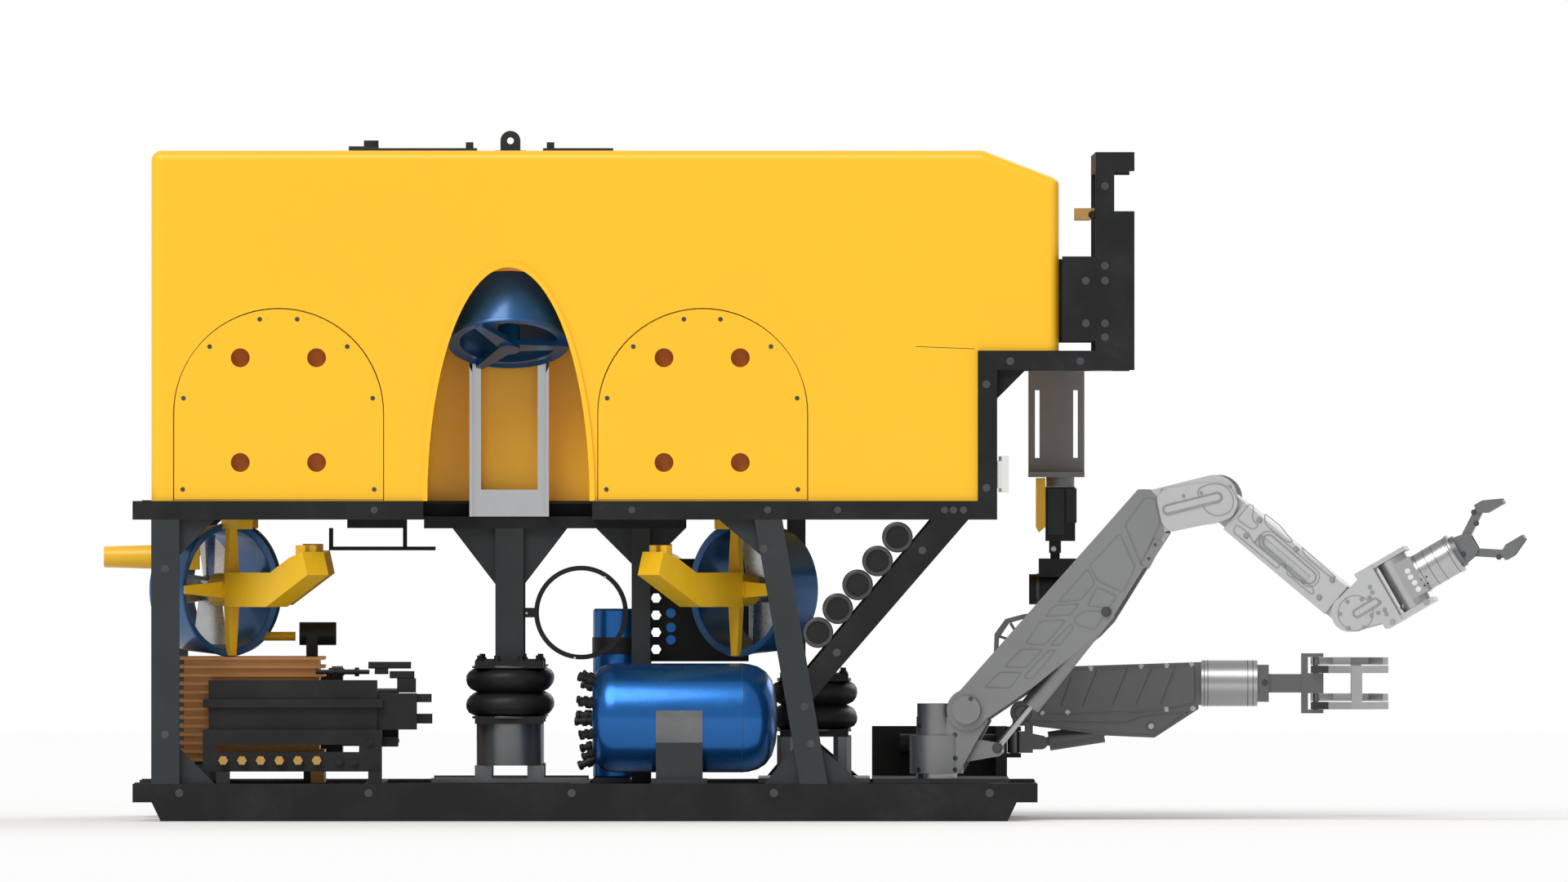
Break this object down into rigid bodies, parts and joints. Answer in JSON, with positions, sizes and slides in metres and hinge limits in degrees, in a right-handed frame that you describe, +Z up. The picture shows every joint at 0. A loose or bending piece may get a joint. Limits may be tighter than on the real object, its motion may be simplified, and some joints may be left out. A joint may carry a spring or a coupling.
{
  "type": "work-class remotely operated underwater vehicle",
  "caption": "Yellow foam block on an open frame with ducted thrusters, a jointed manipulator arm, a grabber arm and a pan and tilt camera.",
  "frame": {"origin": "middle of the bounding box's underside, on the ground below the skid runners", "axes": "+X forward towards the manipulators, +Y port, +Z up"},
  "size_m": [3.8202, 1.5, 1.852],
  "materials": {
    "armgrey": "satin",
    "blackplastic": "satin",
    "blue": "anodised",
    "boomgrey": "satin",
    "brass": "satin",
    "copper": "satin",
    "foam": "satin",
    "frame": "satin",
    "nozzleblue": "gloss",
    "palemetal": "satin",
    "rubber": "matte",
    "slate": "satin",
    "steel": "brushed",
    "yellowmetal": "satin"
  },
  "bodies": {
    "vehicle": {"access_covers": "foam", "accumulator_bottles": "blackplastic", "arm_porch": "slate", "arm_slew_base": "boomgrey", "bay_hangers": "blackplastic", "bay_posts": "slate", "bottle_connectors": "blackplastic", "bottle_saddles": "slate", "camera_bracket": "slate", "deck_gear": "boomgrey", "diagonal_struts": "frame", "flood_lamps": "blackplastic", "foam_pack": "foam", "front_frame": "frame", "horizontal_thruster_motors": "yellowmetal", "hydraulic_power_unit": "blackplastic", "manifold_fittings": "brass", "oil_cooler": "copper", "pressure_bottles": "blue", "rear_camera": "blackplastic", "shock_bellows": "rubber", "shock_mount_stands": "steel", "skid_frame": "frame", "skid_runners": "frame", "tail_boom": "yellowmetal", "terminal_panel": "blackplastic", "thruster_nozzles": "nozzleblue", "top_frame": "frame", "valve_pack": "blackplastic", "vertical_thruster_brackets": "steel", "vertical_thruster_motors": "yellowmetal"},
    "camera_pan": {"camera_pan_unit": "blackplastic"},
    "camera_tilt": {"camera_tilt_head": "blackplastic"},
    "arm_housing": {"arm_slew_housing": "armgrey"},
    "arm_upper": {"upper_arm": "armgrey"},
    "lift_rod": {"arm_lift_rod": "steel"},
    "lift_barrel": {"arm_lift_barrel": "armgrey"},
    "arm_forearm": {"forearm": "palemetal"},
    "wrist_pitch": {"wrist_pitch_link": "palemetal"},
    "wrist_yaw": {"wrist_yaw_block": "palemetal"},
    "gripper": {"gripper_palm": "boomgrey"},
    "link_upper": {"finger_link_upper": "boomgrey"},
    "link_lower": {"finger_link_lower": "boomgrey"},
    "tip_upper": {"finger_tip_upper": "boomgrey"},
    "tip_lower": {"finger_tip_lower": "boomgrey"},
    "swing": {"grabber_swing": "boomgrey"},
    "boom": {"grabber_boom": "boomgrey", "grabber_wrist": "steel"},
    "grab_barrel": {"grabber_lift_barrel": "boomgrey"},
    "grab_rod": {"grabber_lift_rod": "steel"},
    "jaw": {"jaw_carrier": "boomgrey"},
    "claw_starboard": {"claw_starboard": "steel"},
    "claw_port": {"claw_port": "steel"},
    "propeller_front_port": {"propeller_front_port": "palemetal"},
    "propeller_front_starboard": {"propeller_front_starboard": "palemetal"},
    "propeller_rear_port": {"propeller_rear_port": "palemetal"},
    "propeller_rear_starboard": {"propeller_rear_starboard": "palemetal"},
    "propeller_vertical_port": {"propeller_vertical_port": "palemetal"},
    "propeller_vertical_starboard": {"propeller_vertical_starboard": "palemetal"}
  },
  "joints": [
    {"name": "front_port_spin", "type": "hinge", "parent": "vehicle", "child": "propeller_front_port", "pos_m": [-0.201, 0.47, 0.618], "axis": [-0.7071, 0.7071, 0], "continuous": true},
    {"name": "front_starboard_spin", "type": "hinge", "parent": "vehicle", "child": "propeller_front_starboard", "pos_m": [-0.201, -0.47, 0.618], "axis": [-0.7071, -0.7071, 0], "continuous": true},
    {"name": "rear_port_spin", "type": "hinge", "parent": "vehicle", "child": "propeller_rear_port", "pos_m": [-1.565, 0.47, 0.618], "axis": [0.7071, 0.7071, 0], "continuous": true},
    {"name": "rear_starboard_spin", "type": "hinge", "parent": "vehicle", "child": "propeller_rear_starboard", "pos_m": [-1.565, -0.47, 0.618], "axis": [0.7071, -0.7071, 0], "continuous": true},
    {"name": "vertical_port_spin", "type": "hinge", "parent": "vehicle", "child": "propeller_vertical_port", "pos_m": [-0.815, 0.575, 1.28], "axis": [0, 0.3907, -0.9205], "continuous": true},
    {"name": "vertical_starboard_spin", "type": "hinge", "parent": "vehicle", "child": "propeller_vertical_starboard", "pos_m": [-0.815, -0.575, 1.28], "axis": [0, -0.3907, -0.9205], "continuous": true},
    {"name": "camera_pan", "type": "hinge", "parent": "vehicle", "child": "camera_pan", "pos_m": [0.666, 0, 0.893], "axis": [0, 0, 1], "range_deg": [-150, 150]},
    {"name": "camera_tilt", "type": "hinge", "parent": "camera_pan", "child": "camera_tilt", "pos_m": [0.652, 0, 0.731], "axis": [0, -1, 0], "range_deg": [-20, 20]},
    {"name": "arm_slew", "type": "hinge", "parent": "vehicle", "child": "arm_housing", "pos_m": [0.331, -0.48, 0.112], "axis": [0, 0, 1], "range_deg": [-70, 30]},
    {"name": "arm_shoulder", "type": "hinge", "parent": "arm_housing", "child": "arm_upper", "pos_m": [0.42012, -0.49253, 0.296], "axis": [-0.1392, -0.9903, 0], "range_deg": [-30, 15]},
    {"name": "arm_elbow", "type": "hinge", "parent": "arm_upper", "child": "arm_forearm", "pos_m": [1.08074, -0.58537, 0.86375], "axis": [-0.1392, -0.9903, 0], "range_deg": [-20, 60]},
    {"name": "arm_wrist_pitch", "type": "hinge", "parent": "arm_forearm", "child": "wrist_pitch", "pos_m": [1.44281, -0.63626, 0.55586], "axis": [-0.1392, -0.9903, 0], "range_deg": [-90, 5]},
    {"name": "arm_wrist_yaw", "type": "hinge", "parent": "wrist_pitch", "child": "wrist_yaw", "pos_m": [1.58432, -0.65614, 0.63836], "axis": [-0.4951, 0.0696, 0.866], "range_deg": [-50, 50]},
    {"name": "arm_wrist_turn", "type": "hinge", "parent": "wrist_yaw", "child": "gripper", "pos_m": [1.72093, -0.67534, 0.71801], "axis": [0.8576, -0.1205, 0.5], "continuous": true},
    {"name": "finger_upper", "type": "hinge", "parent": "gripper", "child": "link_upper", "pos_m": [1.74751, -0.67908, 0.76353], "axis": [-0.1392, -0.9903, 0], "range_deg": [-30, 15]},
    {"name": "finger_lower", "type": "hinge", "parent": "gripper", "child": "link_lower", "pos_m": [1.77326, -0.6827, 0.71849], "axis": [-0.1392, -0.9903, 0], "range_deg": [-15, 30]},
    {"name": "tip_upper_parallel", "type": "hinge", "parent": "link_upper", "child": "tip_upper", "pos_m": [1.78617, -0.68451, 0.84015], "axis": [-0.1392, -0.9903, 0], "range_deg": [-15, 30]},
    {"name": "tip_lower_parallel", "type": "hinge", "parent": "link_lower", "child": "tip_lower", "pos_m": [1.8583, -0.69465, 0.71399], "axis": [-0.1392, -0.9903, 0], "range_deg": [-30, 15]},
    {"name": "lift_rod_swing", "type": "hinge", "parent": "arm_housing", "child": "lift_rod", "pos_m": [0.48944, -0.50227, 0.189], "axis": [-0.1392, -0.9903, 0], "range_deg": [-28.5, 14.5]},
    {"name": "lift_barrel_slide", "type": "slide", "parent": "lift_rod", "child": "lift_barrel", "axis": [0.6205, -0.0872, 0.7793], "range_m": [-0.065, 0.03]},
    {"name": "grabber_swing", "type": "hinge", "parent": "vehicle", "child": "swing", "pos_m": [0.545, 0.43, 0], "axis": [0, 0, 1], "range_deg": [-45, 45]},
    {"name": "grabber_lift", "type": "hinge", "parent": "swing", "child": "boom", "pos_m": [0.566, 0.43, 0.282], "axis": [0, -1, 0], "range_deg": [-20, 30]},
    {"name": "grab_barrel_swing", "type": "hinge", "parent": "swing", "child": "grab_barrel", "pos_m": [0.617, 0.43, 0.201], "axis": [0, -1, 0], "range_deg": [-23, 34]},
    {"name": "grab_rod_slide", "type": "slide", "parent": "grab_barrel", "child": "grab_rod", "axis": [0.9885, 0, 0.1513], "range_m": [-0.035, 0.05]},
    {"name": "grabber_turn", "type": "hinge", "parent": "boom", "child": "jaw", "pos_m": [1.202, 0.43, 0.361], "axis": [1, 0, 0], "continuous": true},
    {"name": "claw_starboard_swing", "type": "hinge", "parent": "jaw", "child": "claw_starboard", "pos_m": [1.36, 0.41, 0.361], "axis": [0, 0, -1], "range_deg": [0, 27]},
    {"name": "claw_port_swing", "type": "hinge", "parent": "jaw", "child": "claw_port", "pos_m": [1.36, 0.45, 0.361], "axis": [0, 0, 1], "range_deg": [0, 27]}
  ],
  "couplings": [
    {"joint": "finger_lower", "follows": "finger_upper", "ratio": -1},
    {"joint": "tip_upper_parallel", "follows": "finger_upper", "ratio": -1},
    {"joint": "tip_lower_parallel", "follows": "finger_upper", "ratio": 1},
    {"joint": "lift_rod_swing", "follows": "arm_shoulder", "ratio": 0.93},
    {"joint": "lift_barrel_slide", "follows": "arm_shoulder", "m_per_rad": 0.11},
    {"joint": "grab_barrel_swing", "follows": "grabber_lift", "ratio": 1.1},
    {"joint": "grab_rod_slide", "follows": "grabber_lift", "m_per_rad": 0.085},
    {"joint": "claw_port_swing", "follows": "claw_starboard_swing", "ratio": 1}
  ]
}
